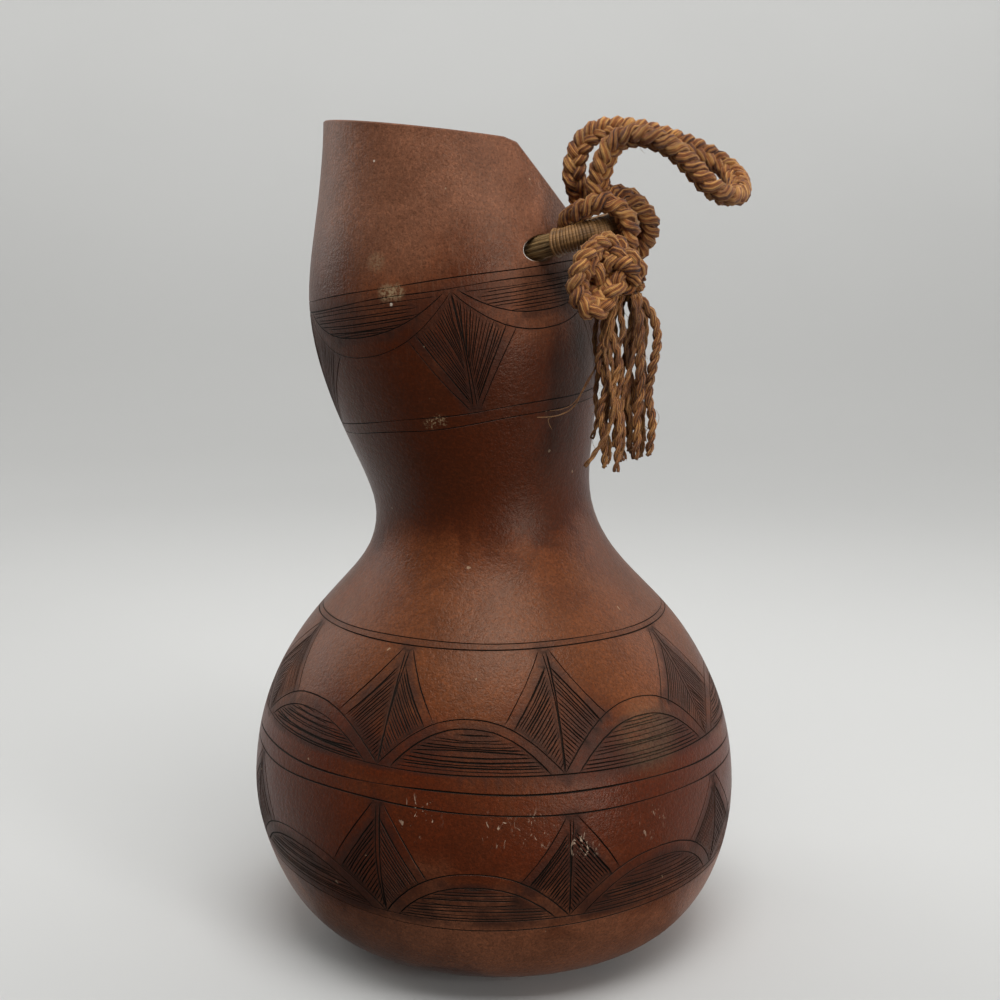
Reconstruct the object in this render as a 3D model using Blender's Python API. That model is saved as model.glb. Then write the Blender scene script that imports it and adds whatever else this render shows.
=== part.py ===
"""Dried bottle gourd made into a vessel, with a cane-bound hoop and a plaited wrist cord.

The gourd is one hollow shell whose upper bulb leans to the left. Its mouth is cut nearly level
and then steeply down to a spout on the right. A hoop passes through two holes below the spout,
a plaited cord is hitched round the hoop, and its ends are knotted and hang down as a tassel.
Metres, Z up, origin at the middle of the foot; the front looks along -Y.
"""
import bpy
import bmesh
import numpy as np

MM = 0.001
GAP = 0.3 * MM

# Gourd: height of each station, radius there, and how far the axis has moved along X
STATIONS = MM * np.array([
    (0, 34, 1.5), (2.5, 50, 1.5), (8, 63.5, 1.5), (18, 73, 1.3), (33, 80, 0.8), (50, 83.5, 0),
    (66, 83, -0.3), (82, 79.5, -0.5), (96, 73.5, -0.6), (110, 64.5, -0.6), (124, 52, -1),
    (138, 41, -2.2), (152, 37, -3.9), (168, 39.4, -5.9), (186, 44.1, -8.4), (206, 48, -11.3),
    (228, 48, -14.7), (252, 44, -16.2), (280, 38, -18.9), (300, 34, -22.5)])
# Its rings lean over with the upper bulb, from the neck upwards
RING_TILT = np.radians(-9)
TILT_FROM = 120 * MM
TILT_OVER = 75 * MM
WALL = 4.0 * MM
SHELL_ROWS = 34
SHELL_SIDES = 48

# Mouth: height and fall of the level cut, and of the steep spout cut that starts further right
MOUTH_HEIGHT = 272.4 * MM
MOUTH_FALL = 0.113
SPOUT_HEIGHT = 278.3 * MM
SPOUT_FALL = 1.23

# Holes for the hoop, on the axes of the surface
HOLE_AZIMUTH = np.radians(40)
HOLE_STATION = 233.6 * MM
HOLE_HALF_WIDTH = 7.0 * MM
HOLE_HALF_HEIGHT = 4.8 * MM

# Hoop: a flat ring that rises to the right, given along its slope and across it
HOOP_ORIGIN = MM * np.array((13.6, 0, 238.1))
HOOP_RISE = 0.275
HOOP_HALF = MM * np.array([
    (-11, 0), (-10, -13), (-6.5, -26), (0, -35), (5.5, -40), (12, -42.5), (19, -41.5),
    (25, -36.5), (29, -26), (31, -12.5), (31.5, 0)])
CORE_RADIUS = 3.3 * MM
WRAP_RADIUS = 4.15 * MM
WRAP_GROOVE = 0.3 * MM
WRAP_PITCH = 2.4 * MM
WRAP_START = 4.5 * MM

# Cord: a three-strand plait, its loop, two turns round the hoop and a round knot
CORD_RADIUS = 3.6 * MM
LOOP_ROUTE = MM * np.array([
    (26.6, -34.6, 254.8), (25.4, -36.4, 257.5), (24.7, -37.6, 261), (25.3, -37.5, 265.4),
    (27.1, -37, 269.6), (30.5, -36, 272.8), (35.2, -35, 274.2), (40.5, -34, 274.1),
    (46.1, -33, 273.4), (51.8, -32, 272.0), (57.6, -31, 270.2), (63.4, -30, 268.0),
    (68.4, -30, 265.4), (72.6, -32, 262.3), (74.9, -37, 258.8), (74.6, -44, 255.6),
    (72.1, -51, 253.6), (68.2, -55, 253.9), (64.1, -56, 256.4), (60.3, -55, 260.4),
    (56.5, -54, 264.5), (52.4, -53, 267.8), (47.7, -52, 270.2), (42.8, -50, 271.3),
    (38.5, -48.5, 270.7), (35, -47, 267.7), (33.2, -45.5, 263.5), (32, -44, 259.8)])
LOOP_POINTS = 50
INNER_TURN = MM * np.array([
    (23.5, -31, 245), (23, -36.5, 248.3), (26.2, -41.5, 250), (30.3, -44.5, 251.8),
    (34.8, -46, 252.2), (39.2, -46, 250), (42, -45.5, 246.4), (42, -44, 241.8),
    (40.5, -41, 237.3), (37.5, -37, 235.8)])
OUTER_TURN = MM * np.array([
    (32.4, -41.5, 255.2), (36.5, -40.3, 254.6), (41.2, -40.6, 253.4), (45.6, -39.5, 250.2),
    (48.3, -37, 246), (47.8, -33.5, 241.5), (45, -32.5, 237.5), (41, -33, 235.5)])
KNOT_CENTRE = MM * np.array((34.3, -51.5, 231.3))
KNOT_SCALE = 2.95 * MM
KNOT_DEPTH = 3.4 * MM
KNOT_TURN = np.radians(-20)
KNOT_VOXEL = 1.6 * MM

# Tassel: loosened strands below the knot
TASSEL_TOP = MM * np.array((39.5, -48.5, 215.2))
TASSEL_HEAD = MM * np.array((9.5, 4.6, 3.4))
TASSEL_FOOT = 169 * MM
TASSEL_SPREAD = MM * np.array((10.5, 4.2, 0))
ROOT_SHARE = 0.72
STRANDS = 14
STRAND_RADIUS = 1.25 * MM
STRAND_RAGGED = 9 * MM
STRAND_WAVE = 1.0 * MM
STRAND_WAVE_SHARE = np.array((0.7, 0.4))


def smooth_curve(points, count, closed=False):
    """Points on the natural cubic spline through the given points, even in chord length.

    A closed curve is solved over three rounds, and the middle round is kept.
    """
    pts = np.asarray(points, float)
    if closed:
        pts = np.vstack([pts, pts, pts, pts[:1]])
    chord = np.concatenate([[0], np.cumsum(np.linalg.norm(np.diff(pts, axis=0), axis=1))])
    step = np.diff(chord)
    size = len(pts)
    matrix = np.eye(size)
    right = np.zeros_like(pts)
    inner = np.arange(1, size - 1)
    matrix[inner, inner - 1] = step[:-1]
    matrix[inner, inner] = 2 * (step[:-1] + step[1:])
    matrix[inner, inner + 1] = step[1:]
    rate = np.diff(pts, axis=0) / step[:, None]
    right[inner] = 6 * np.diff(rate, axis=0)
    bend = np.linalg.solve(matrix, right)
    if closed:
        third = (size - 1) // 3
        where = np.linspace(chord[third], chord[2 * third], count, endpoint=False)
    else:
        where = np.linspace(0, chord[-1], count)
    k = np.clip(np.searchsorted(chord, where, side="right") - 1, 0, size - 2)
    a = ((chord[k + 1] - where) / step[k])[:, None]
    b = 1 - a
    h = step[k][:, None]
    curve = a * pts[k] + b * pts[k + 1]
    return curve + ((a ** 3 - a) * bend[k] + (b ** 3 - b) * bend[k + 1]) * h ** 2 / 6


def surface_point(azimuth, station):
    """Point of the gourd's outside: a circle at a station, tilted square to the leaning axis.

    Azimuth 0 is the front, and it grows towards +X.
    """
    line = smooth_curve(STATIONS, 800)
    height, radius, lean = line.T
    share = np.clip((station - TILT_FROM) / TILT_OVER, 0, 1)
    t = RING_TILT * share ** 2 * (3 - 2 * share)
    r = np.interp(station, height, radius)
    out = r * np.sin(azimuth)
    x = np.interp(station, height, lean) + out * np.cos(t)
    y = -r * np.cos(azimuth) + 0 * out
    z = station - out * np.sin(t)
    return np.stack(np.broadcast_arrays(x, y, z), -1)


def material(name, colour, roughness):
    """A plain finish of one colour."""
    made = bpy.data.materials.new(name)
    made.use_nodes = True
    shader = made.node_tree.nodes["Principled BSDF"]
    shader.inputs["Base Color"].default_value = (*colour, 1)
    shader.inputs["Roughness"].default_value = roughness
    shader.inputs["Metallic"].default_value = 0
    return made


def add_object(name, mesh, finish):
    """Link a mesh as a named object with its finish, shaded smooth."""
    obj = bpy.data.objects.new(name, mesh)
    bpy.context.scene.collection.objects.link(obj)
    mesh.materials.append(finish)
    mesh.shade_smooth()
    return obj


def grid_mesh(name, rings, ends):
    """Mesh of one or more tubes: each is rings of points, closed around.

    ends is 'cap' for flat ends, 'loop' to join the last ring to the first, or 'foot' for a
    capped first ring and an open last one.
    """
    mesh = bmesh.new()
    for tube in rings:
        verts = [[mesh.verts.new(p) for p in ring] for ring in tube]
        sides = len(verts[0])
        follow = verts[1:] + verts[:1] if ends == "loop" else verts[1:]
        for low, high in zip(verts, follow):
            for k in range(sides):
                n = (k + 1) % sides
                mesh.faces.new((low[k], low[n], high[n], high[k]))
        if ends != "loop":
            mesh.faces.new(verts[0][::-1])
        if ends == "cap":
            mesh.faces.new(verts[-1])
    bmesh.ops.triangulate(mesh, faces=mesh.faces[:], quad_method="SHORT_EDGE")
    bmesh.ops.recalc_face_normals(mesh, faces=mesh.faces[:])
    data = bpy.data.meshes.new(name)
    mesh.to_mesh(data)
    mesh.free()
    return data


def tube_rings(path, radius, sides, closed=False):
    """Circles along a path, each square to it, with frames carried on without twist."""
    if closed:
        ahead = np.roll(path, -1, 0) - np.roll(path, 1, 0)
    else:
        ahead = np.gradient(path, axis=0)
    ahead /= np.linalg.norm(ahead, axis=1)[:, None]
    side = np.cross(ahead[0], (0, 0, 1) if abs(ahead[0][2]) < 0.9 else (1, 0, 0))
    turn = np.linspace(0, 2 * np.pi, sides, endpoint=False)
    reach = np.broadcast_to(radius, len(path))
    rings = []
    for point, along, r in zip(path, ahead, reach):
        side = side - along * (side @ along)
        side = side / np.linalg.norm(side)
        up = np.cross(along, side)
        rings.append(point + r * (np.outer(np.cos(turn), side) + np.outer(np.sin(turn), up)))
    return np.array(rings)


def cutter(name, mesh):
    """An object that only cuts: never rendered, drawn as wires."""
    obj = bpy.data.objects.new(name, mesh)
    bpy.context.scene.collection.objects.link(obj)
    obj.hide_render = True
    obj.display_type = "WIRE"
    return obj


def cut(obj, tool):
    """Take the tool's volume away from the object."""
    step = obj.modifiers.new(tool.name, "BOOLEAN")
    step.operation = "DIFFERENCE"
    step.object = tool


def slope_cutter(name, height, fall):
    """A wide block whose underside is the plane z = height - fall * x."""
    reach = 0.16
    corners = []
    for x in (-reach, reach):
        for y in (-reach, reach):
            low = height - fall * x
            corners += [(x, y, low), (x, y, low + 0.5)]
    mesh = bmesh.new()
    for corner in corners:
        mesh.verts.new(corner)
    bmesh.ops.convex_hull(mesh, input=mesh.verts[:])
    bmesh.ops.recalc_face_normals(mesh, faces=mesh.faces[:])
    data = bpy.data.meshes.new(name)
    mesh.to_mesh(data)
    mesh.free()
    return cutter(name, data)


def hole_cutter(name, side):
    """An oval rod along the hoop where it goes through the wall; side is -1 in front, 1 behind."""
    centre = surface_point(HOLE_AZIMUTH, HOLE_STATION)
    around = surface_point(HOLE_AZIMUTH + 0.01, HOLE_STATION) - centre
    upward = surface_point(HOLE_AZIMUTH, HOLE_STATION + MM) - centre
    around /= np.linalg.norm(around)
    upward /= np.linalg.norm(upward)
    outward = np.cross(around, upward)
    turn = np.linspace(0, 2 * np.pi, 24, endpoint=False)
    oval = np.outer(HOLE_HALF_WIDTH * np.cos(turn), around)
    oval += np.outer(HOLE_HALF_HEIGHT * np.sin(turn), upward)
    rings = np.array([centre + oval + reach * outward for reach in (-3 * WALL, 2 * WALL)])
    rings[..., 1] *= -side
    return cutter(name, grid_mesh(name, [rings], "cap"))


def gourd_shell(finish):
    """The gourd's wall: an open vessel with a small flat foot, its mouth and two holes cut."""
    line = smooth_curve(STATIONS, SHELL_ROWS)
    azimuth = np.linspace(0, 2 * np.pi, SHELL_SIDES, endpoint=False)
    outside = np.array([surface_point(azimuth, station) for station in line[:, 0]])
    outside[0, :, 2] = 0
    shell = add_object("gourd_shell", grid_mesh("gourd_shell", [outside], "foot"), finish)
    wall = shell.modifiers.new("wall", "SOLIDIFY")
    wall.thickness = WALL
    wall.offset = -1
    wall.use_even_offset = True
    cut(shell, slope_cutter("mouth_cut", MOUTH_HEIGHT, MOUTH_FALL))
    cut(shell, slope_cutter("spout_cut", SPOUT_HEIGHT, SPOUT_FALL))
    cut(shell, hole_cutter("front_hole", -1))
    cut(shell, hole_cutter("back_hole", 1))


def hoop_path(count):
    """The hoop's centre line: the half outline mirrored across the middle, as a closed curve."""
    back = HOOP_HALF[1:-1][::-1] * (1, -1)
    flat = smooth_curve(np.vstack([HOOP_HALF, back]), count, closed=True)
    slope = np.array((1, 0, HOOP_RISE)) / np.hypot(1, HOOP_RISE)
    return HOOP_ORIGIN + np.outer(flat[:, 0], slope) + np.outer(flat[:, 1], (0, 1, 0)), flat


def hoop_core(finish):
    """The bare bundle of canes, bent into a ring that runs through both holes."""
    path, _ = hoop_path(64)
    rings = tube_rings(path, CORE_RADIUS, 10, closed=True)
    add_object("hoop_core", grid_mesh("hoop_core", [rings], "loop"), finish)


def hoop_binding(finish):
    """A ridged sleeve of cane strip round the outside arc of the hoop, with a gap to the core."""
    path, flat = hoop_path(1200)
    arc = path[flat[:, 0] > WRAP_START]
    length = np.linalg.norm(np.diff(arc, axis=0), axis=1).sum()
    turns = int(length / WRAP_PITCH)
    line = smooth_curve(arc[::12], 2 * turns + 1)
    groove = np.arange(len(line)) % 2
    outer = tube_rings(line, WRAP_RADIUS - WRAP_GROOVE * groove, 10)
    inner = tube_rings(line[::2], CORE_RADIUS + GAP, 10)
    sleeve = np.concatenate([outer, inner[::-1]])
    add_object("hoop_binding", grid_mesh("hoop_binding", [sleeve], "loop"), finish)


def rope_loop(finish):
    """The wrist loop, a plain round stand-in for the plait along its real route."""
    curve = bpy.data.curves.new("rope_loop", "CURVE")
    curve.dimensions = "3D"
    spline = curve.splines.new("POLY")
    line = smooth_curve(LOOP_ROUTE, LOOP_POINTS)
    spline.points.add(len(line) - 1)
    spline.points.foreach_set("co", np.column_stack([line, np.ones(len(line))]).ravel())
    curve.bevel_depth = CORD_RADIUS
    curve.bevel_resolution = 3
    curve.use_fill_caps = True
    obj = bpy.data.objects.new("rope_loop", curve)
    bpy.context.scene.collection.objects.link(obj)
    curve.materials.append(finish)


def join(body, pieces):
    """Make the body and the pieces that cross it one solid, by one union that is then applied."""
    group = bpy.data.collections.new("pieces")
    bpy.context.scene.collection.children.link(group)
    for mesh in pieces:
        group.objects.link(bpy.data.objects.new("piece", mesh))
    step = body.modifiers.new("join", "BOOLEAN")
    step.operation = "UNION"
    step.operand_type = "COLLECTION"
    step.collection = group
    bpy.context.view_layer.update()
    shown = body.evaluated_get(bpy.context.evaluated_depsgraph_get())
    whole = bpy.data.meshes.new_from_object(shown)
    body.modifiers.clear()
    body.data = whole
    for piece in list(group.objects):
        bpy.data.objects.remove(piece)
    bpy.data.collections.remove(group)


def rope_hitch(finish):
    """Two turns of the doubled cord round the hoop."""
    inner, outer = [tube_rings(smooth_curve(route, 20), CORD_RADIUS, 10)
                    for route in (INNER_TURN, OUTER_TURN)]
    body = add_object("rope_hitch", grid_mesh("rope_hitch", [inner], "cap"), finish)
    join(body, [grid_mesh("outer turn", [outer], "cap")])


def rope_knot(finish):
    """The round knot: a trefoil of cord facing the front, drawn up until its lobes touch.

    The tube crosses itself, so a voxel remesh makes it one skin.
    """
    t = np.linspace(0, 2 * np.pi, 97)
    flat = KNOT_SCALE * (2 + np.cos(3 * t))
    around = 2 * t + KNOT_TURN
    line = np.stack([flat * np.cos(around), -KNOT_DEPTH * np.sin(3 * t), flat * np.sin(around)], -1)
    rings = tube_rings(KNOT_CENTRE + line, CORD_RADIUS, 12)
    body = add_object("rope_knot", grid_mesh("rope_knot", [rings], "cap"), finish)
    skin = body.modifiers.new("one skin", "REMESH")
    skin.mode = "VOXEL"
    skin.voxel_size = KNOT_VOXEL
    skin.use_smooth_shade = True


def tassel(finish):
    """Wavy strands that hang from a small head and are rooted in it."""
    head = bmesh.new()
    bmesh.ops.create_uvsphere(head, u_segments=14, v_segments=8, radius=1)
    for vert in head.verts:
        vert.co = TASSEL_TOP + TASSEL_HEAD * np.array(vert.co)
    data = bpy.data.meshes.new("tassel")
    head.to_mesh(data)
    head.free()
    body = add_object("tassel", data, finish)
    draw = np.random.default_rng(7)
    strands = []
    for k in range(STRANDS):
        place = 2 * np.pi * k / STRANDS
        reach = (0.55, 0.95)[k % 2]
        away = reach * np.array((np.cos(place), np.sin(place), 0))
        root = TASSEL_TOP + ROOT_SHARE * TASSEL_HEAD * away
        tip = TASSEL_TOP + TASSEL_SPREAD * away
        tip[2] = TASSEL_FOOT + draw.uniform(0, STRAND_RAGGED)
        fall = np.linspace(0, 1, 12)[:, None]
        line = root + (tip - root) * fall
        wave = STRAND_WAVE * np.sin(fall * draw.uniform(9, 13) + draw.uniform(0, 2 * np.pi, 2))
        line[:, :2] += wave * np.minimum(1, 3 * fall) * STRAND_WAVE_SHARE
        rings = tube_rings(line, STRAND_RADIUS, 5)
        strands.append(grid_mesh("strand", [rings], "cap"))
    join(body, strands)


def main():
    for obj in list(bpy.data.objects):
        bpy.data.objects.remove(obj)
    gourd = material("gourd", (0.20, 0.06, 0.028), 0.42)
    cane = material("cane bundle", (0.15, 0.10, 0.04), 0.7)
    strip = material("cane strip", (0.26, 0.17, 0.07), 0.6)
    cord = material("plaited cord", (0.42, 0.19, 0.06), 0.8)
    gourd_shell(gourd)
    hoop_core(cane)
    hoop_binding(strip)
    rope_loop(cord)
    rope_hitch(cord)
    rope_knot(cord)
    tassel(cord)


main()
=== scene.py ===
"""Looks of the dried bottle gourd: carved skin, cane-bound hoop, plaited cord and tassel.

Metres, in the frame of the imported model: Z up, the front looks along -Y, and azimuth 0 is the
front and grows towards +X. Every new piece is a surface worked out with numpy.
"""

import bmesh
import bpy
import numpy as np
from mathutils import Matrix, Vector
from mathutils.geometry import delaunay_2d_cdt


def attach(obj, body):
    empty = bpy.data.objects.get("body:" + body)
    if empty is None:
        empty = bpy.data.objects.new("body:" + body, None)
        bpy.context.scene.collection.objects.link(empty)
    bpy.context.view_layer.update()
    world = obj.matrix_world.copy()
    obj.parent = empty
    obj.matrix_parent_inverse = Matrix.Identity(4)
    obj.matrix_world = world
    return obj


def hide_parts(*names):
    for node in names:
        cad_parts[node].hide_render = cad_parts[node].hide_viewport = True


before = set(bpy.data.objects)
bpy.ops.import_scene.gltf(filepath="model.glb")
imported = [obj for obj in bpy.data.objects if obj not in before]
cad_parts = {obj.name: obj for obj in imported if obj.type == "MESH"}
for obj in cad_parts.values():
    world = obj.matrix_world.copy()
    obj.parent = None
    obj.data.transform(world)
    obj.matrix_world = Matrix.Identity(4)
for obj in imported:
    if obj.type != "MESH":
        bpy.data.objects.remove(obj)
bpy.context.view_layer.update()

MM = 0.001

# Camera: place, pitch and lens that were fitted to the outline in the photograph
CAMERA_PLACE = MM * np.array((1.9, -511.5, 243))
CAMERA_PITCH = 10.1
CAMERA_LENS = 54.18

# Gourd, as in the part: height of each station, radius there, and shift of the axis along X
STATIONS = MM * np.array([
    (0, 34, 1.5), (2.5, 50, 1.5), (8, 63.5, 1.5), (18, 73, 1.3), (33, 80, 0.8), (50, 83.5, 0),
    (66, 83, -0.3), (82, 79.5, -0.5), (96, 73.5, -0.6), (110, 64.5, -0.6), (124, 52, -1),
    (138, 41, -2.2), (152, 37, -3.9), (168, 39.4, -5.9), (186, 44.1, -8.4), (206, 48, -11.3),
    (228, 48, -14.7), (252, 44, -16.2), (280, 38, -18.9), (300, 34, -22.5)])
RING_TILT = np.radians(-9)
TILT_FROM = 120 * MM
TILT_OVER = 75 * MM
WALL = 4.0 * MM
# Cuts of the rim: height over the frame's axis and fall towards +X, for the mouth, the spout's
# corner and the spout
RIM_CUTS = [(272.4 * MM, 0.113), (273.2 * MM, 0.378), (279.5 * MM, 1.26)]
RIM_BEVEL = 0.45 * MM
RIM_SIDES = 540
# Two oval holes, a little smaller than in the part, so that the core fills them as in the
# photograph
HOLE_AZIMUTH = np.radians(40)
HOLE_STATION = 233.3 * MM
HOLE_HALF = MM * np.array((6.8, 3.9))
HOLE_SIDES = 64
# Loose points of the skin and of the inside: their spacing, and the gap that they leave to a
# rim or hole as a share of it
SKIN_SPACING = 4.0 * MM
INSIDE_SPACING = 1.6 * SKIN_SPACING
EDGE_GAP = 0.4

# Hoop, as in the part: a flat ring that rises to the right, along its slope and across it
HOOP_ORIGIN = MM * np.array((13.6, 0, 238.1))
HOOP_RISE = 0.275
HOOP_HALF = MM * np.array([
    (-11, 0), (-10, -13), (-6.5, -26), (0, -35), (5.5, -40), (12, -42.5), (19, -41.5),
    (25, -36.5), (29, -26), (31, -12.5), (31.5, 0)])
# Its core, a little thicker than in the part, and the strip wound on it, which starts further
# from the hole: radii, the distance along the slope where the strip starts, and its pitch
CORE_RADIUS = 3.4 * MM
WRAP_RADIUS = 4.0 * MM
WRAP_START = 5.6 * MM
WRAP_PITCH = 0.88 * MM

# Cord: centre lines of the wrist loop, of two turns round the hoop, and of the round knot
LOOP_ROUTE = MM * np.array([
    (26.6, -34.6, 254.8), (25.4, -36.4, 257.5), (24.7, -37.6, 261), (25.3, -37.5, 265.4),
    (27.1, -37, 269.6), (30.5, -36, 272.8), (35.2, -35, 274.2), (40.5, -34, 274.1),
    (46.1, -33, 273.4), (51.8, -32, 272.0), (57.6, -31, 270.2), (63.4, -30, 268.0),
    (68.4, -30, 265.4), (72.6, -32, 262.3), (74.9, -37, 258.8), (74.6, -44, 255.6),
    (72.1, -51, 253.6), (68.2, -55, 253.9), (64.1, -56, 256.4), (60.3, -55, 260.4),
    (56.5, -54, 264.5), (52.4, -53, 267.8), (47.7, -52, 270.2), (42.8, -50, 271.3),
    (38.5, -48.5, 270.7), (35, -47, 267.7), (33.2, -45.5, 263.5), (32, -44, 259.8)])
INNER_TURN = MM * np.array([
    (23.8, -31, 243), (23.4, -36.5, 246.6), (26.2, -42, 249), (30.3, -45, 251.2),
    (34.4, -46.4, 251.8), (38.2, -46.4, 249.8), (40.8, -45.8, 246.2), (41.2, -44.2, 241.6),
    (40, -41, 237.3), (37.5, -37, 235.8)])
OUTER_TURN = MM * np.array([
    (32.4, -41.5, 255.2), (36.5, -40.3, 254.6), (41.2, -40.6, 253.4), (45.6, -39.5, 250.2),
    (48.3, -37, 246), (47.8, -33.5, 241.5), (45, -32.5, 237.5), (41, -33, 235.5)])
LOOP_ENDS = MM * np.array([(27.3, -33.8, 251.2), (31.6, -43.2, 254.4)])
LOOP_COURSE = np.vstack([LOOP_ENDS[:1], LOOP_ROUTE, LOOP_ENDS[1:]])
KNOT_LOBE = MM * np.array([
    (30.5, -54.5, 238), (27.2, -57, 234.4), (25.2, -58, 229), (25.6, -58, 224), (28.2, -57.6, 220.6),
    (31.6, -56.4, 220.4), (33.6, -54.4, 223.2), (33, -51, 227)])
KNOT_CENTRE = MM * np.array((34.3, -51.5, 231.3))
KNOT_SCALE = 2.95 * MM
KNOT_DEPTH = 3.4 * MM
KNOT_TURN = np.radians(-20)

# Plait: half width and half thickness of the strands' course, its repeat, and the strands
PLAIT_REACH = MM * np.array((2.05, 1.4))
PLAIT_REPEAT = 11.5 * MM
PLAIT_RINGS = 15
STRAND_RADIUS = 1.68 * MM
STRAND_SIDES = 30
YARNS_IN_STRAND = 6
YARN_TWIST = 260

# Tassel: half thickness of each yarn, its depth (y) and its course (x, z), all in millimetres.
# The stray fibres are given in the same way.
YARNS = [
    (1.45, -50.5, [(43.6, 224.1), (46.1, 221), (48.7, 217), (49.9, 210.2), (48.7, 202.8), (47.9, 198.2),
        (47.6, 192.9), (48.7, 186.8), (48.7, 181.2), (47.9, 174.8)]),
    (1.55, -52, [(43, 224.7), (43.9, 219.1), (44.5, 211.1), (44.7, 201.6), (45, 194.2), (43.9, 186.8),
        (44.1, 181.2), (43.6, 173.8)]),
    (0.80, -53, [(41.8, 224.1), (43.3, 217.3), (43.2, 213), (42.4, 205), (40.2, 196.9), (39.3, 188.6),
        (39.9, 180.9), (39, 174.5)]),
    (1.25, -53.5, [(35, 225.3), (36.1, 220.4), (35.3, 214.8), (36.5, 209.9), (38, 202.8), (36.1, 196),
        (37.2, 190.5), (38.3, 184.9), (38, 177.2), (37.6, 170.5)]),
    (1.25, -51.5, [(33.2, 224.7), (33.5, 216), (33.1, 209.9), (32, 203.4), (34.3, 196.9), (32.8, 190.5),
        (33.5, 183.1), (34.1, 171.4)]),
    (1.00, -52.5, [(38.7, 224.1), (38.1, 219.1), (39.3, 213.6), (37.5, 207.4), (39, 200.6),
        (37.8, 193.3), (39.3, 185.9), (38.4, 179.7), (39.6, 173.5)]),
    (0.90, -49, [(41.2, 224.1), (42.1, 216.7), (40.6, 209), (41.8, 200.6), (41.2, 192), (42.4, 184),
        (41.8, 176)]),
    (0.85, -48, [(32, 224.1), (31.7, 217.3), (31, 209), (32.3, 201.3), (31.4, 193.6), (32, 185.9),
        (30.4, 179.7)]),
    (0.95, -47, [(36.3, 224.1), (34.7, 216.7), (36, 209), (34.4, 200.6), (35.6, 192.6), (34.7, 184.3),
        (36, 176), (35.3, 171.7)]),
    (0.95, -46, [(39.9, 224.1), (39.3, 216), (40.9, 207.4), (39.3, 198.2), (40.6, 189.6), (39.9, 181.5),
        (40.9, 172.9)]),
    (1.10, -47.5, [(43, 223.4), (45.8, 215.1), (45.5, 206.8), (46.4, 198.8), (45.5, 191.4),
        (46.1, 183.4), (45.8, 173.8)]),
    (0.80, -54, [(37.2, 222.8), (34.4, 213.6), (35.3, 205.9), (36.6, 198.2), (36.3, 192), (35.3, 184.6),
        (32.6, 178.8), (28, 172)]),
    (0.70, -53.4, [(35.6, 222.2), (33.5, 212), (34.4, 202.8), (36, 194.5), (36.3, 188.3), (34.4, 181.9),
        (31.7, 177.2), (28.9, 173.2)]),
    (0.60, -45, [(44.9, 223.4), (47.3, 213.6), (46.4, 204.3), (47.6, 194.5), (46.7, 185.9),
        (47.3, 178.5)]),
    (1.10, -45.5, [(34.4, 224.1), (35.3, 213.6), (33.8, 204.3), (35, 195.1), (33.8, 185.9),
        (34.7, 175.1)]),
    (1.10, -45, [(38.1, 224.1), (36.9, 215.1), (38.4, 205.9), (36.9, 196.6), (38.1, 187.4),
        (37.2, 176.6)]),
    (1.10, -46.5, [(41.8, 223.4), (43, 213.6), (41.5, 203.7), (43, 193.6), (41.8, 184.3),
        (42.7, 175.1)]),
    (1.00, -44.5, [(44.9, 222.8), (43.9, 213.6), (45.2, 202.8), (43.9, 193.6), (44.9, 182.8),
        (44.2, 176.6)]),
]
STRAYS = [
    (0.34, -51, [(33.5, 209), (32, 203.7), (30.1, 200.3), (27.1, 194.8), (24.6, 190.2), (19.7, 187.4),
        (13.3, 186.8)]),
    (0.25, -51.4, [(32.6, 207.4), (29.5, 198.8), (26.8, 194.2), (24, 190.8), (20.9, 189.4),
        (17.2, 188.9)]),
    (0.17, -50.8, [(19.1, 187.3), (16.9, 186.3), (17.9, 183.1)]),
    (0.10, -52, [(34.4, 193.3), (32.6, 189.6), (30.4, 188.3), (29.5, 185.9)]),
    (0.10, -49.5, [(46.4, 184.3), (48.5, 182.8), (51, 186.5), (50.1, 188.9)]),
    (0.10, -50, [(47.9, 184.3), (46.1, 180.3), (44.9, 177.9)]),
]

# Backdrop: reach of its flat floor, the bend up into the wall, the wall's top, and the angle to
# either side of straight behind where the part behind the object ends
SWEEP_FLOOR = 1.15
SWEEP_BEND = 1.65
SWEEP_TOP = 3.6
SWEEP_END = 1.9
SWEEP_STEPS = 72

# Soft lights: place, aim, width and height in metres, and watts
LIGHTS = {
    "softbox above": ((0.1, -0.55, 1.35), (0, 0, 0.12), (0.9, 0.7), 14),
    "softbox window": ((0.95, -1.12, 0.30), (0, 0, 0.17), (0.30, 0.9), 11),
    "softbox left": ((-1.1, 0.5, 0.75), (0, 0, 0.15), (0.8, 1.0), 4.8),
    "softbox right": ((1.1, 0.45, 0.75), (0, 0, 0.15), (0.8, 1.0), 3.6),
    "softbox behind": ((0, 0.7, 1.9), (0, 2.6, 0.8), (2.4, 0.5), 36),
}
WORLD_COLOUR = (0.75, 0.76, 0.75)
WORLD_STRENGTH = 0.16


def unit(vectors):
    """Vectors brought to length one."""
    return vectors / np.linalg.norm(vectors, axis=-1, keepdims=True)


def full_turn(count):
    """Angles that divide a whole turn."""
    return np.linspace(0, 2 * np.pi, count, endpoint=False)


def lengths_along(path):
    """Distance of each point of a path from its start, measured along it."""
    return np.concatenate([[0], np.cumsum(np.linalg.norm(np.diff(path, axis=0), axis=1))])


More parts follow.
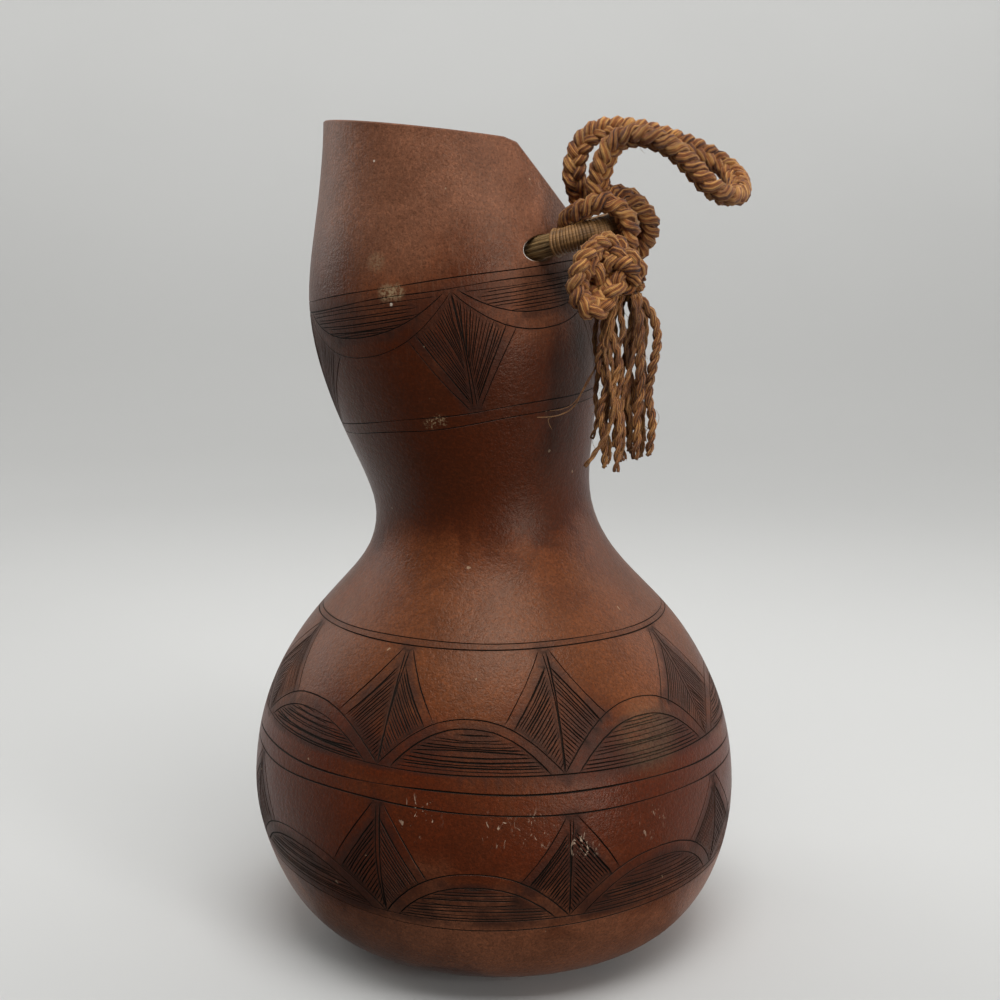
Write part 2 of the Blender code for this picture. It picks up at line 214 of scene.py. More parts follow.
def smooth_curve(points, count, closed=False):
    """Points on the natural cubic spline through the given points, even in chord length.

    A closed curve is solved over three rounds, and the middle round is kept.
    """
    pts = np.asarray(points, float)
    if closed:
        pts = np.vstack([pts, pts, pts, pts[:1]])
    chord = lengths_along(pts)
    step = np.diff(chord)
    size = len(pts)
    matrix = np.eye(size)
    right = np.zeros_like(pts)
    inner = np.arange(1, size - 1)
    matrix[inner, inner - 1] = step[:-1]
    matrix[inner, inner] = 2 * (step[:-1] + step[1:])
    matrix[inner, inner + 1] = step[1:]
    rate = np.diff(pts, axis=0) / step[:, None]
    right[inner] = 6 * np.diff(rate, axis=0)
    bend = np.linalg.solve(matrix, right)
    if closed:
        third = (size - 1) // 3
        where = np.linspace(chord[third], chord[2 * third], count, endpoint=False)
    else:
        where = np.linspace(0, chord[-1], count)
    k = np.clip(np.searchsorted(chord, where, side="right") - 1, 0, size - 2)
    a = ((chord[k + 1] - where) / step[k])[:, None]
    b = 1 - a
    h = step[k][:, None]
    curve = a * pts[k] + b * pts[k + 1]
    return curve + ((a ** 3 - a) * bend[k] + (b ** 3 - b) * bend[k + 1]) * h ** 2 / 6


def carried_frames(path, closed=False):
    """Unit vectors along a path and two square to it, carried on from ring to ring untwisted."""
    if closed:
        ahead = unit(np.roll(path, -1, 0) - np.roll(path, 1, 0))
    else:
        ahead = unit(np.gradient(path, axis=0))
    side = np.empty_like(ahead)
    carried = np.cross(ahead[0], (0, 0, 1) if abs(ahead[0][2]) < 0.9 else (1, 0, 0))
    for k, along in enumerate(ahead):
        carried = unit(carried - along * (carried @ along))
        side[k] = carried
    return ahead, side, np.cross(ahead, side)


def tube(path, reach, closed=False):
    """Tube points: path[i] + reach[i, j] * (cos a * side[i] + sin a * up[i]), a = 2 pi j / sides."""
    _, side, up = carried_frames(path, closed)
    turn = full_turn(reach.shape[1])[None, :, None]
    return path[:, None] + reach[..., None] * (np.cos(turn) * side[:, None] + np.sin(turn) * up[:, None])


def tube_piece(name, tubes, finish, closed=False):
    """One piece of several tubes, each an array of rings, with flat caps unless it is a closed ring.

    Its UV map holds centimetres along the tube and turns round it, and the point attribute
    'yarn' holds a number from 0 to 1 for each tube.
    """
    verts, faces, uvs, yarn = [], [], [], []
    start = 0
    draw = np.random.default_rng(len(tubes))
    for rings in tubes:
        count, sides = rings.shape[:2]
        i, j = np.meshgrid(np.arange(count if closed else count - 1), np.arange(sides), indexing="ij")
        low = start + i * sides
        high = start + (i + 1) % count * sides
        right = (j + 1) % sides
        quads = np.stack([low + j, low + right, high + right, high + j], -1).reshape(-1, 4)
        along = 100 * lengths_along(rings.mean(1))
        along = np.append(along, 2 * along[-1] - along[-2])
        u = np.stack([along[i], along[i], along[i + 1], along[i + 1]], -1)
        v = np.stack([j, j + 1, j + 1, j], -1) / sides
        faces += quads.tolist()
        uvs.append(np.stack([u, v], -1).reshape(-1, 2))
        if not closed:
            ring = np.arange(sides)
            faces += [(start + ring[::-1]).tolist(), (start + (count - 1) * sides + ring).tolist()]
            flat = np.stack([np.zeros(sides), ring / sides], -1)
            uvs += [flat, flat]
        verts.append(rings.reshape(-1, 3))
        yarn.append(np.full(count * sides, draw.uniform()))
        start += count * sides
    mesh = bpy.data.meshes.new(name)
    mesh.from_pydata(np.concatenate(verts).tolist(), [], faces)
    layer = mesh.uv_layers.new(name="UVMap")
    layer.uv.foreach_set("vector", np.concatenate(uvs).ravel())
    mark = mesh.attributes.new("yarn", "FLOAT", "POINT")
    mark.data.foreach_set("value", np.concatenate(yarn))
    return add_piece(name, mesh, finish)


def add_object(name, data):
    """An object in the scene that holds a mesh, a lamp or a camera."""
    made = bpy.data.objects.new(name, data)
    bpy.context.scene.collection.objects.link(made)
    return made


def add_mesh(name, mesh, finish):
    """A smooth mesh in the scene, with its finish."""
    mesh.shade_smooth()
    mesh.materials.append(finish)
    return add_object(name, mesh)


def add_piece(name, mesh, finish):
    """A mesh that rides on the body, as a piece of the part."""
    piece = add_mesh(name, mesh, finish)
    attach(piece, "root")
    return piece


# Gourd surface

PROFILE = smooth_curve(STATIONS, 3000)
MERIDIAN = STATIONS[0, 1] + lengths_along(PROFILE[:, :2])
PLAN_SCALE = 30
SQUARE = np.log(STATIONS[0, 1]) + np.concatenate([[0], np.cumsum(
    np.diff(MERIDIAN) / (0.5 * (PROFILE[1:, 1] + PROFILE[:-1, 1])))])


def gourd_radius(meridian):
    """Radius of the gourd at a distance along the meridian."""
    return np.where(meridian < MERIDIAN[0], meridian, np.interp(meridian, MERIDIAN, PROFILE[:, 1]))


def gourd_point(azimuth, meridian):
    """Point of the gourd's outside at a distance along the meridian from the middle of the foot.

    Up to the foot's edge it is a flat disc. From there it is a circle at a station, tilted square
    to the leaning axis.
    """
    station = np.interp(meridian, MERIDIAN, PROFILE[:, 0])
    share = np.clip((station - TILT_FROM) / TILT_OVER, 0, 1)
    tilt = RING_TILT * share ** 2 * (3 - 2 * share)
    radius = gourd_radius(meridian)
    out = radius * np.sin(azimuth)
    x = np.interp(meridian, MERIDIAN, PROFILE[:, 2]) + out * np.cos(tilt)
    y = -radius * np.cos(azimuth)
    z = station - out * np.sin(tilt)
    return np.stack(np.broadcast_arrays(x, y, z), -1)


def under_skin(azimuth, meridian, depth):
    """Point at a depth under the gourd's outside, square to it."""
    small_turn = 1e-3
    small_way = 0.05 * MM
    across = gourd_point(azimuth + small_turn, meridian) - gourd_point(azimuth - small_turn, meridian)
    upwards = gourd_point(azimuth, meridian + small_way) - gourd_point(azimuth, meridian - small_way)
    return gourd_point(azimuth, meridian) - depth * unit(np.cross(across, upwards))


def to_plan(azimuth, meridian):
    """Flat plan of the surface that keeps its angles, in polar form about the foot's middle.

    The logarithm of its radius is the integral of d meridian / radius.
    """
    grown = np.where(meridian < MERIDIAN[0], np.log(np.maximum(meridian, 1e-6)),
                     np.interp(meridian, MERIDIAN, SQUARE))
    reach = PLAN_SCALE * np.exp(grown)
    return np.stack([reach * np.cos(azimuth), reach * np.sin(azimuth)], -1)


def from_plan(plan):
    """Azimuth and meridian of points of the plan."""
    azimuth = np.arctan2(plan[:, 1], plan[:, 0])
    grown = np.log(np.maximum(np.hypot(plan[:, 0], plan[:, 1]), 1e-9) / PLAN_SCALE)
    return azimuth, np.where(grown < SQUARE[0], np.exp(grown), np.interp(grown, SQUARE, MERIDIAN))


def meridian_at(station):
    """Distance along the meridian of a station's height."""
    return np.interp(station, PROFILE[:, 0], MERIDIAN)


def rim_meridian(azimuth, depth, below):
    """Where the surface at a depth under the skin passes a distance below the rim's cuts.

    It is found by halving, as each azimuth meets the cuts once.
    """
    low = np.full_like(azimuth, meridian_at(0.2))
    high = np.full_like(azimuth, MERIDIAN[-1] - 1e-5)
    for _ in range(40):
        middle = (low + high) / 2
        point = under_skin(azimuth, middle, depth)
        cuts = [height - fall * point[:, 0] for height, fall in RIM_CUTS]
        under = point[:, 2] < np.min(cuts, 0) - below
        low = np.where(under, middle, low)
        high = np.where(under, high, middle)
    return (low + high) / 2


def hole_loop(side, grow=0.0, depth=0.0):
    """Azimuth and meridian of an oval hole's edge; side is 1 in front and -1 behind."""
    turn = full_turn(HOLE_SIDES)
    centre = meridian_at(HOLE_STATION)
    around = HOLE_AZIMUTH + (HOLE_HALF[0] + grow) * np.cos(turn) / (gourd_radius(centre) - depth)
    azimuth = around if side > 0 else np.pi - around
    return azimuth, centre + (HOLE_HALF[1] + grow) * np.sin(turn)


def wrapped(angle):
    """Angles brought into half a turn either way."""
    return (angle + np.pi) % (2 * np.pi) - np.pi


def triangulate(loops, lines, points, keep):
    """Delaunay triangles of the plan through closed loops, open lines and loose points.

    keep tells from azimuth and meridian of a triangle's middle whether it stays. Returns the
    azimuth and meridian of the vertices that are used, and the triangles.
    """
    groups = [(line, True) for line in loops] + [(line, False) for line in lines]
    plan = []
    edges = []
    start = 0
    for (azimuth, meridian), closed in groups:
        size = len(azimuth)
        plan.append(to_plan(azimuth, meridian))
        first = start + np.arange(size if closed else size - 1)
        edges.append(np.stack([first, start + (first - start + 1) % size], -1))
        start += size
    plan.append(to_plan(*points))
    plan = np.concatenate(plan)
    result = delaunay_2d_cdt([Vector(p) for p in plan.tolist()], np.concatenate(edges).tolist(),
                             [], 1, 1e-6)
    verts = np.array([tuple(v) for v in result[0]])
    faces = np.array([f for f in result[2] if len(f) == 3])
    azimuth, meridian = from_plan(verts)
    middle = verts[faces].mean(1)
    faces = faces[keep(*from_plan(middle))]
    used, faces = np.unique(faces, return_inverse=True)
    return azimuth[used], meridian[used], faces.reshape(-1, 3)


def loose_points(top, spacing):
    """Staggered rows of points over the surface, about evenly spaced, below a top meridian."""
    azimuths = [np.zeros(1)]
    meridians = [np.zeros(1)]
    for k, level in enumerate(np.arange(spacing, top, spacing * 0.87)):
        count = int(2 * np.pi * gourd_radius(level) / spacing) + 1
        azimuths.append((np.arange(count) + 0.5 * (k % 2)) * 2 * np.pi / count)
        meridians.append(np.full(count, level))
    return wrapped(np.concatenate(azimuths)), np.concatenate(meridians)


def in_hole(azimuth, meridian, grow=0.0, depth=0.0):
    """Whether a place of the surface lies in one of the two oval holes."""
    inside = np.zeros(len(azimuth), bool)
    centre = meridian_at(HOLE_STATION)
    for place in (HOLE_AZIMUTH, np.pi - HOLE_AZIMUTH):
        across = wrapped(azimuth - place) * (gourd_radius(centre) - depth)
        up = meridian - centre
        inside |= np.hypot(across / (HOLE_HALF[0] + grow), up / (HOLE_HALF[1] + grow)) < 1
    return inside


# Carving. Marks are azimuth in degrees and station in millimetres. A cut is a V groove: its
# depth at the middle over its half width, the points' spacing along it, and the gap to the
# nearest loose point of the skin.

CUT_SLOPE = 1.15
CUT_SAMPLE = 2.0 * MM
CUT_CLEARANCE = 0.7 * MM
SHORTEST_CUT = 0.8 * MM
RING_SAMPLES = 260

# Single rings: width in millimetres, then marks that the line runs through
RINGS = [
    (0.44, [(-72.4, 227.6), (-33.6, 229.1), (-17.5, 228.9), (-2.7, 228.9), (14.4, 228.8),
            (38.2, 227.9), (130, 227.6), (210, 228.2)]),
    (0.48, [(-75.7, 224.0), (-46.5, 225.1), (-25.7, 226.2), (0.2, 225.8), (20.9, 225.8), (42, 225),
            (130, 224.4), (210, 224.8)]),
    (0.46, [(-78.4, 186.3), (-36.2, 187.8), (-18.6, 187.4), (-7.2, 186.9), (15.5, 187.3),
            (52.4, 185.9), (140, 186.4), (210, 187)]),
    (0.42, [(-63.6, 183.5), (-34.5, 183.9), (-16.8, 183.2), (-1.4, 183.3), (16.4, 183.7),
            (52.8, 183.1), (140, 183), (210, 183.6)]),
    (0.40, [(-85, 116.6), (-40, 117.2), (-5.7, 116.9), (40, 117), (81, 116.8), (140, 117.2),
            (220, 116.5)]),
    (0.54, [(-82.8, 115.1), (-53.9, 115.7), (-25.2, 115.1), (-5.5, 115.3), (34.9, 115.5),
            (62.5, 115.5), (140, 115.3), (220, 114.9)]),
    (0.74, [(-84.8, 76.4), (-68.9, 77.3), (-54.8, 76.6), (-42.4, 76.5), (-13.7, 76.8),
            (6.8, 75.8), (36.9, 75.6), (85, 72.5), (140, 73.4), (215, 76)]),
    (0.62, [(-79, 73.2), (-63.3, 71.6), (-44.5, 72.1), (-32.9, 72.4), (-0.7, 70.1), (19.2, 68.8),
            (40.8, 69.6), (83.5, 67.2), (140, 68.4), (215, 72)]),
    (0.56, [(-64, 37.5), (-23.9, 31.9), (-2.4, 31.3), (16.3, 32.1), (39.9, 34.1), (90, 35.5),
            (150, 34), (220, 38)]),
]
BASE_WIDTH = 0.56
BASE_DROP = 0.25

# Where a ring is worn away: its width, the azimuth, the spread and the share that is gone
FADED = (0.74, -27, 9, 0.62)

# Rows of arcs with a ribbed triangle at each meeting of two arcs. meets and tips hold these
# meetings and the triangles' points, rise and inner the rise of each arc and of the one inside
# it, which is shorter by the share inset at both ends. feet says where on the arcs the
# triangles' sides stand. lines and fan count the hatching of an arc and of half a triangle,
# which from_tip starts at the triangle's point. width is in millimetres.
ROWS = [
    dict(meets=[(-74.5, 224.2), (1.5, 225), (73.5, 224.6), (146, 224.3), (217, 224.4)],
         tips=[(-77.5, 186.6), (3.9, 187.8), (76, 186.2), (148, 186.6), (214.5, 187)],
         rise=(-16.2, -15.2, -15.6, -16.4, -15.8),
         inner=(-10.2, -10.6, -10, -10.4, -10),
         feet=(0.31, 0.755), inset=0.035, lines=9, fan=16, from_tip=True, width=0.38),
    dict(meets=[(-72.6, 84.5), (-26.4, 82.3), (16.2, 81.1), (61.2, 80.7), (106, 79.8),
                (151.5, 80.4), (196, 82), (241.5, 84)],
         tips=[(-69, 113.9), (-25.4, 114.6), (15.4, 115), (59.3, 114.9), (107, 114.6),
               (150, 114.6), (197.5, 114.2), (244, 114.1)],
         rise=(13.4, 15.6, 17.2, 15.8, 16.2, 15.2, 16, 14.6),
         inner=(9.2, 11.8, 12.8, 11.8, 12, 11.4, 12.2, 11),
         feet=(0.29, 0.69), inset=0.075, lines=11, fan=19, from_tip=False, width=0.46),
    dict(meets=[(-71.5, 41.5), (-24.9, 35.1), (16.2, 35.6), (60.7, 37), (105.5, 38.2), (150, 37),
                (195, 37.4), (240.5, 40.4)],
         tips=[(-70, 71.4), (-25.3, 71.4), (16.9, 68.7), (60.5, 68), (105, 67.2), (151, 68.6),
               (194, 70), (242, 71.6)],
         rise=(15.6, 15.9, 17.2, 15.4, 15.8, 16.2, 15.2, 15.8),
         inner=(10.6, 11.8, 12.8, 11.4, 11.6, 12, 11.2, 11.6),
         feet=(0.26, 0.74), inset=0.075, lines=11, fan=17, from_tip=False, width=0.50),
]
ARC_SWELL = 2.3


def level_line(marks, azimuth):
    """Station of a ring at azimuths in degrees: straight between its marks, then smoothed."""
    places, stations = np.array(marks).T
    order = np.argsort(places % 360)
    shifts = np.linspace(-9, 9, 7)[:, None]
    return np.interp((azimuth + shifts) % 360, (places % 360)[order], stations[order], period=360).mean(0)


def heading(azimuth, meridian):
    """Direction of a line on the surface at its points, around and upwards."""
    around = np.gradient(azimuth) * gourd_radius(meridian)
    return unit(np.stack([around, np.gradient(meridian)], -1))


def carve():
    """All cuts, each as azimuth, meridian and half width of the points along its middle."""
    draw = np.random.default_rng(21)
    cuts = []

    def rough(points, width):
        """One hand-cut line: evenly spaced, slightly bowed, its width tapered to both ends."""
        points = np.asarray(points, float)
        azimuth = np.radians(points[:, 0])
        meridian = meridian_at(MM * points[:, 1])
        radius = gourd_radius(meridian)
        length = np.concatenate([[0], np.cumsum(np.hypot(
            np.diff(azimuth) * (radius[1:] + radius[:-1]) / 2, np.diff(meridian)))])
        if length[-1] < SHORTEST_CUT:
            return
        count = max(4, int(length[-1] / CUT_SAMPLE) + 2)
        share = np.linspace(0, 1, count)
        azimuth = np.interp(share * length[-1], length, azimuth)
        meridian = np.interp(share * length[-1], length, meridian)
        bow = draw.normal(0, 0.010) * length[-1] * np.sin(np.pi * share)
        bow = bow + draw.normal(0, 0.035, count) * MM
        run = heading(azimuth, meridian)
        azimuth = azimuth - bow * run[:, 1] / gourd_radius(meridian)
        meridian = meridian + bow * run[:, 0]
        ends = np.minimum(share, 1 - share) * length[-1]
        press = draw.uniform(0.82, 1.15)
        wave = np.sin(share * draw.uniform(4, 9) + draw.uniform(0, 6))
        taper = 0.2 + 0.8 * np.clip(ends / (1.6 * MM), 0, 1) ** 0.6
        cuts.append((azimuth, meridian, 0.5 * width * MM * press * (1 + 0.12 * wave) * taper, False))

    around = np.linspace(-180, 180, RING_SAMPLES, endpoint=False)
    angle = np.radians(around)
    faded_width, faded_at, faded_over, faded_share = FADED
    bases = [(BASE_WIDTH, [(a, z - BASE_DROP) for a, z in row["meets"]]) for row in ROWS[1:]]
    for width, marks in RINGS + bases:
        station = level_line(marks, around) + 0.10 * np.sin(angle * 7 + width * 90)
        worn = 1 - 0.45 * np.clip(np.sin(angle * 3 + width * 55) * np.sin(angle * 5 + 1), 0, 1)
        if width == faded_width:
            worn = worn * (1 - faded_share * np.exp(-((around - faded_at) / faded_over) ** 2))
        cuts.append((angle, meridian_at(MM * station), 0.5 * width * MM * worn, True))

    for row in ROWS:
        meets, tips = np.array(row["meets"], float), np.array(row["tips"], float)
        count = len(meets)

        def arc(k, share, rise, inset=0.0):
            """Points of the arc from meeting k to the next; k runs on past the last meeting."""
            turns, first = divmod(k, count)
            low = meets[first] + (360 * turns, 0)
            high = meets[(first + 1) % count] + (360 * (turns + (first == count - 1)), 0)
            run = inset + (1 - 2 * inset) * share
            base = low + (high - low) * run[:, None]
            base[:, 1] += rise[first] * (1 - np.abs(2 * share - 1) ** ARC_SWELL)
            return base

        for k in range(count):
            whole = np.linspace(0, 1, 40)
            rough(arc(k, whole, row["rise"]), row["width"])
            rough(arc(k, whole, row["inner"], row["inset"]), row["width"] * 1.1)
            for n in range(row["lines"]):
                high = (n + 0.75 + draw.uniform(-0.16, 0.16)) / (row["lines"] + 0.55)
                reach = (1 - high) ** (1 / ARC_SWELL)
                start, end = 0.5 - 0.5 * reach, 0.5 + 0.5 * reach
                start += draw.choice([0.004, 0.02, 0.10], p=[0.5, 0.3, 0.2]) * draw.uniform(0.3, 1)
                end -= draw.choice([0.004, 0.02, 0.14], p=[0.5, 0.3, 0.2]) * draw.uniform(0.3, 1)
                run = row["inset"] + (1 - 2 * row["inset"]) * np.linspace(start, end, 12)
                base = arc(k, run, np.zeros(count))
                base[:, 1] += high * row["inner"][k]
                rough(base, row["width"] * draw.uniform(0.85, 1.25))
            # triangle at the meeting k: rib from its tip to the meeting, feet on the two arcs
            meet, tip = meets[k], tips[k]
            degree = np.degrees(1 / gourd_radius(meridian_at(MM * tip[1]))) * MM
            foot = np.degrees(1 / gourd_radius(meridian_at(MM * meet[1]))) * MM
            for way, place in ((1, row["feet"][0]), (-1, row["feet"][1])):
                arc_of = k if way > 0 else k - 1 + count
                turn = (0, 0) if way > 0 else (360, 0)
                near, far = (0.0, place) if way > 0 else (1.0, place)

                def on_arc(t):
                    return arc(arc_of, np.array([far + (near - far) * t]), row["rise"])[0] - turn

                def on_rib(t):
                    gap = 0.65 * degree * (1 - t) + 0.12 * foot * t
                    return tip + (meet - tip) * t + (way * gap, 0)

                outer = tip + (way * 1.55 * degree, 0)
                rough([outer + (on_arc(0.0) - outer) * s for s in np.linspace(0.0, 1, 6)], row["width"])
                rough([on_rib(s) for s in np.linspace(0.02, 0.985, 8)], row["width"] * 1.1)
                for n in range(row["fan"]):
                    t = n / (row["fan"] - 0.3)
                    fanned = 0.04 + 0.90 * (1 - (1 - t) ** 0.9) * 0.62
                    top = on_rib(fanned if row["from_tip"] else 0.13 + 0.80 * t)
                    low = on_arc(0.17 + 0.79 * t)
                    cut_short = draw.uniform(0.0, 0.06)
                    start = draw.uniform(0.0, 0.05)
                    wide = 1.35 if n == 0 else draw.uniform(0.8, 1.2)
                    rough([top + (low - top) * s for s in np.linspace(start, 1 - cut_short * (n > 0), 5)],
                          row["width"] * wide)
    return cuts


def cut_lines(cuts):
    """The two edges and the middle of each cut, as lines for the triangulation."""
    loops, lines = [], []
    for azimuth, meridian, half, closed in cuts:
        radius = gourd_radius(meridian)
        if closed:
            loops += [(azimuth, meridian - half), (azimuth, meridian), (azimuth, meridian + half)]
            continue
        run = heading(azimuth, meridian)
        aside = half * np.where(np.arange(len(half)) % (len(half) - 1) == 0, 0, 1)
        for way in (-1, 0, 1):
            lines.append((azimuth - way * aside * run[:, 1] / radius, meridian + way * aside * run[:, 0]))
    return loops, lines


def cut_at(cuts, azimuth, meridian):
    """Depth of the carving at places of the surface, and how closely lines lie round them.

    Depth is slope * (half width - distance) to the nearest cut. Closeness adds up the cuts'
    lengths, each weighed by a bell over its distance.
    """
    starts = [np.stack([wrapped(a), m, h], -1) for a, m, h, closed in cuts]
    ends = [np.roll(s, -1, 0) if cut[3] else s[1:] for s, cut in zip(starts, cuts)]
    starts = np.concatenate([s if cut[3] else s[:-1] for s, cut in zip(starts, cuts)])
    ends = np.concatenate(ends)
    depth = np.zeros(len(azimuth))
    close = np.zeros(len(azimuth))
    bell, band, reach, sectors = 1.5 * MM, 12 * MM, 7 * MM, 24
    rows = (meridian / band).astype(int)
    columns = ((azimuth + np.pi) / (2 * np.pi) * sectors).astype(int)
    for row in np.unique(rows):
        near_row = (starts[:, 1] > row * band - reach) & (starts[:, 1] < (row + 1) * band + reach)
        for column in range(sectors):
            mine = np.flatnonzero((rows == row) & (columns == column))
            if not len(mine):
                continue
            radius = gourd_radius(meridian[mine])[:, None]
            middle = -np.pi + (column + 0.5) * 2 * np.pi / sectors
            off = np.abs(wrapped(starts[:, 0] - middle))
            near = np.flatnonzero(near_row & (off < np.pi / sectors + reach / max(radius.min(), MM)))
            if not len(near):
                continue
            p = np.stack([wrapped(azimuth[mine][:, None] - starts[near, 0]) * radius,
                          meridian[mine][:, None] - starts[near, 1]], -1)
            e = np.stack([wrapped(ends[near, 0] - starts[near, 0]) * radius,
                          np.broadcast_to(ends[near, 1] - starts[near, 1], (len(mine), len(near)))], -1)
            length = np.maximum((e ** 2).sum(-1), 1e-16)
            t = np.clip((p * e).sum(-1) / length, 0, 1)
            away = np.linalg.norm(p - t[..., None] * e, axis=-1)
            half = starts[near, 2] + t * (ends[near, 2] - starts[near, 2])
            depth[mine] = CUT_SLOPE * np.maximum(half - away, 0).max(1)
            close[mine] = (np.sqrt(length) * np.exp(-0.5 * (away / bell) ** 2)).sum(1) / bell
    return depth, close


def gourd_skin(finish):
    """The whole gourd as one closed wall: carved outside, cut rim, inside and two hole tunnels."""
    rim_azimuth = np.linspace(-np.pi, np.pi, RIM_SIDES, endpoint=False)
    outer_rim = rim_meridian(rim_azimuth, 0, RIM_BEVEL)
    inner_rim = rim_meridian(rim_azimuth, WALL, RIM_BEVEL)

    def wall(top, grow, depth, spacing, cuts):
        """Triangles of one side of the wall below a rim and clear of the holes."""
        def keep(azimuth, meridian, gap=0.0):
            level = np.interp(azimuth, rim_azimuth, top, period=2 * np.pi)
            return (meridian < level - gap) & ~in_hole(azimuth, meridian, grow + gap, depth)

        azimuth, meridian = loose_points(top.max(), spacing)
        clear = keep(azimuth, meridian, EDGE_GAP * spacing)
        loops, lines = cut_lines(cuts)
        if cuts:
            wider = [(a, m, half + CUT_CLEARANCE, closed) for a, m, half, closed in cuts]
            clear &= cut_at(wider, azimuth, meridian)[0] == 0
        loops += [(rim_azimuth, top), hole_loop(1, grow, depth), hole_loop(-1, grow, depth)]
        return triangulate(loops, lines, (azimuth[clear], meridian[clear]), keep)

    cuts = carve()
    azimuth, meridian, faces = wall(outer_rim, RIM_BEVEL, 0, SKIN_SPACING, cuts)
    depth, close = cut_at(cuts, azimuth, meridian)
    skin = under_skin(azimuth, meridian, depth[:, None])
    in_azimuth, in_meridian, in_faces = wall(inner_rim, 0, WALL, INSIDE_SPACING, [])
    inside = under_skin(in_azimuth, in_meridian, WALL)
    verts = [skin, inside]
    polygons = faces[:, ::-1].tolist() + (in_faces + len(skin)).tolist()
    kinds = [np.zeros(len(faces)), np.full(len(in_faces), 2.0)]
    start = len(skin) + len(inside)

    def add_strip(rows, kind):
        """Closed bands between rows of points, each with its kind of surface."""
        nonlocal start
        count = rows[0].shape[0]
        j = np.arange(count)
        for k in range(len(rows) - 1):
            low = start + k * count
            right = low + (j + 1) % count
            quads = np.stack([low + j, right, right + count, low + j + count], -1)
            polygons.extend(quads.tolist())
            kinds.append(np.full(count, float(kind[k])))
        verts.extend(rows)
        start += count * len(rows)

    shallow = rim_meridian(rim_azimuth, RIM_BEVEL, 0)
    deep = rim_meridian(rim_azimuth, WALL - RIM_BEVEL, 0)
    add_strip([under_skin(rim_azimuth, outer_rim, 0), under_skin(rim_azimuth, shallow, RIM_BEVEL),
               under_skin(rim_azimuth, deep, WALL - RIM_BEVEL), under_skin(rim_azimuth, inner_rim, WALL)],
              (0, 1, 1))
    for side in (1, -1):
        rows = [gourd_point(*hole_loop(side, RIM_BEVEL, 0)),
                under_skin(*hole_loop(side, 0, 0), RIM_BEVEL),
                under_skin(*hole_loop(side, 0, WALL), WALL)]
        add_strip([row[::-side] for row in rows], (1, 1))

    mesh = bpy.data.meshes.new("gourd_skin")
    mesh.from_pydata(np.concatenate(verts).tolist(), [], polygons)
    kind = mesh.attributes.new("kind", "FLOAT", "FACE")
    kind.data.foreach_set("value", np.concatenate(kinds))
    extra = len(mesh.vertices) - len(skin)
    for name, values in (("cut", depth / MM), ("close", close)):
        mark = mesh.attributes.new(name, "FLOAT", "POINT")
        mark.data.foreach_set("value", np.concatenate([values, np.zeros(extra)]))
    whole = bmesh.new()
    whole.from_mesh(mesh)
    bmesh.ops.remove_doubles(whole, verts=whole.verts[:], dist=0.002 * MM)
    whole.to_mesh(mesh)
    whole.free()
    piece = add_piece("gourd_skin", mesh, finish)
    mesh.set_sharp_from_angle(angle=np.radians(24))
    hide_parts("gourd_shell")


# Hoop

def hoop_path(count):
    """The hoop's centre line: the half outline mirrored across the middle, as a closed curve."""
    back = HOOP_HALF[1:-1][::-1] * (1, -1)
    flat = smooth_curve(np.vstack([HOOP_HALF, back]), count, closed=True)
    slope = unit(np.array((1, 0, HOOP_RISE)))
    return HOOP_ORIGIN + np.outer(flat[:, 0], slope) + np.outer(flat[:, 1], (0, 1, 0)), flat


def cane_core(finish):
    """Bundle of split canes: radius = core * (1 - dip between ribs), the ribs slowly twisting."""
    path, _ = hoop_path(260)
    sides = 96
    canes = 15
    turn = full_turn(sides)[None]
    length = lengths_along(path)[:, None]
    total = length[-1] + np.linalg.norm(path[0] - path[-1])
    twist = 2 * np.pi * 2 * length / total / canes
    round_it = turn + twist
    wander = 0.22 * np.sin(3 * round_it + 1)
    wander = wander + 0.15 * np.sin(5 * round_it + 4 * np.pi * length / total)
    rib = np.abs(np.cos(0.5 * canes * round_it + wander))
    reach = CORE_RADIUS * (0.86 + 0.14 * rib ** 0.55)
    reach = reach + 0.05 * CORE_RADIUS * np.sin(2 * round_it + 8 * np.pi * length / total)
    piece = tube_piece("cane_core", [tube(path, reach, closed=True)], finish, closed=True)
    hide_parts("hoop_core")


